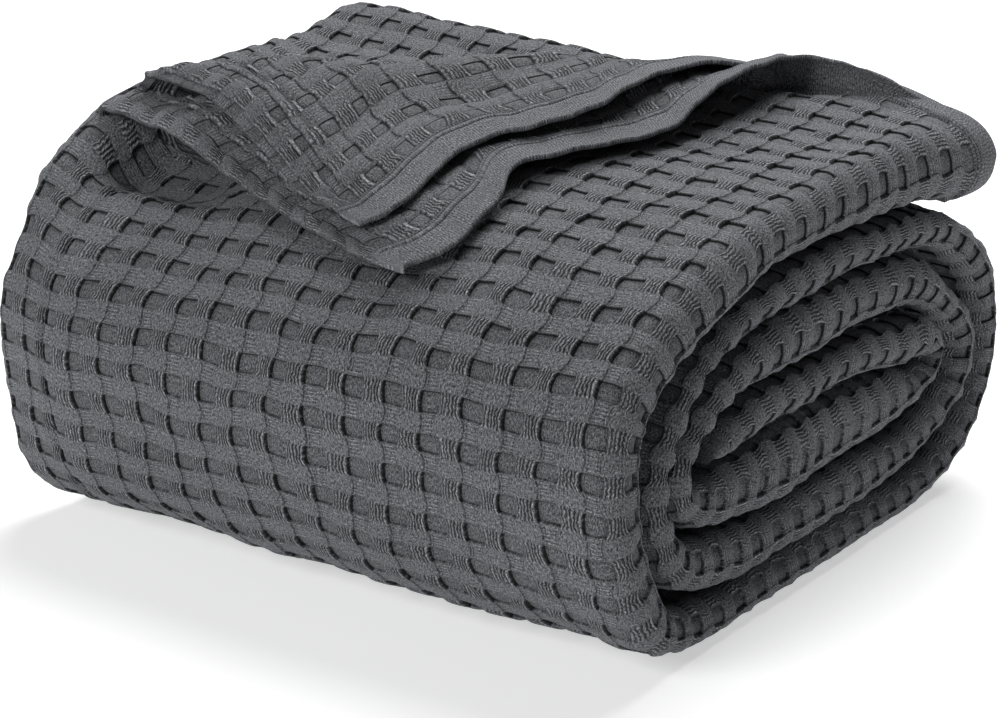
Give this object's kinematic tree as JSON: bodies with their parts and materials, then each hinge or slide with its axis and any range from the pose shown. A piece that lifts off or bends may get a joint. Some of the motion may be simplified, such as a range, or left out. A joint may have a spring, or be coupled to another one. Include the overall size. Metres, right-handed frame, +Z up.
{
  "type": "folded waffle weave cotton blanket",
  "caption": "Charcoal waffle weave cotton bed blanket, folded into a long pack and wound into a soft bundle, with its loose end turned back over the top.",
  "frame": {"origin": "centre of the bundle's bounding box at the surface it rests on", "axes": "+Z up; +X along the bundle towards the end that shows its turns; -Y towards the long rounded side that faces the viewer; the loose end lies at +Y on top"},
  "size_m": [0.301, 0.29, 0.1776],
  "materials": {
    "waffle_cotton": "matte piece-dyed cotton in a deep waffle weave, charcoal grey"
  },
  "bodies": {
    "root": {"blanket": "waffle_cotton"}
  },
  "joints": []
}
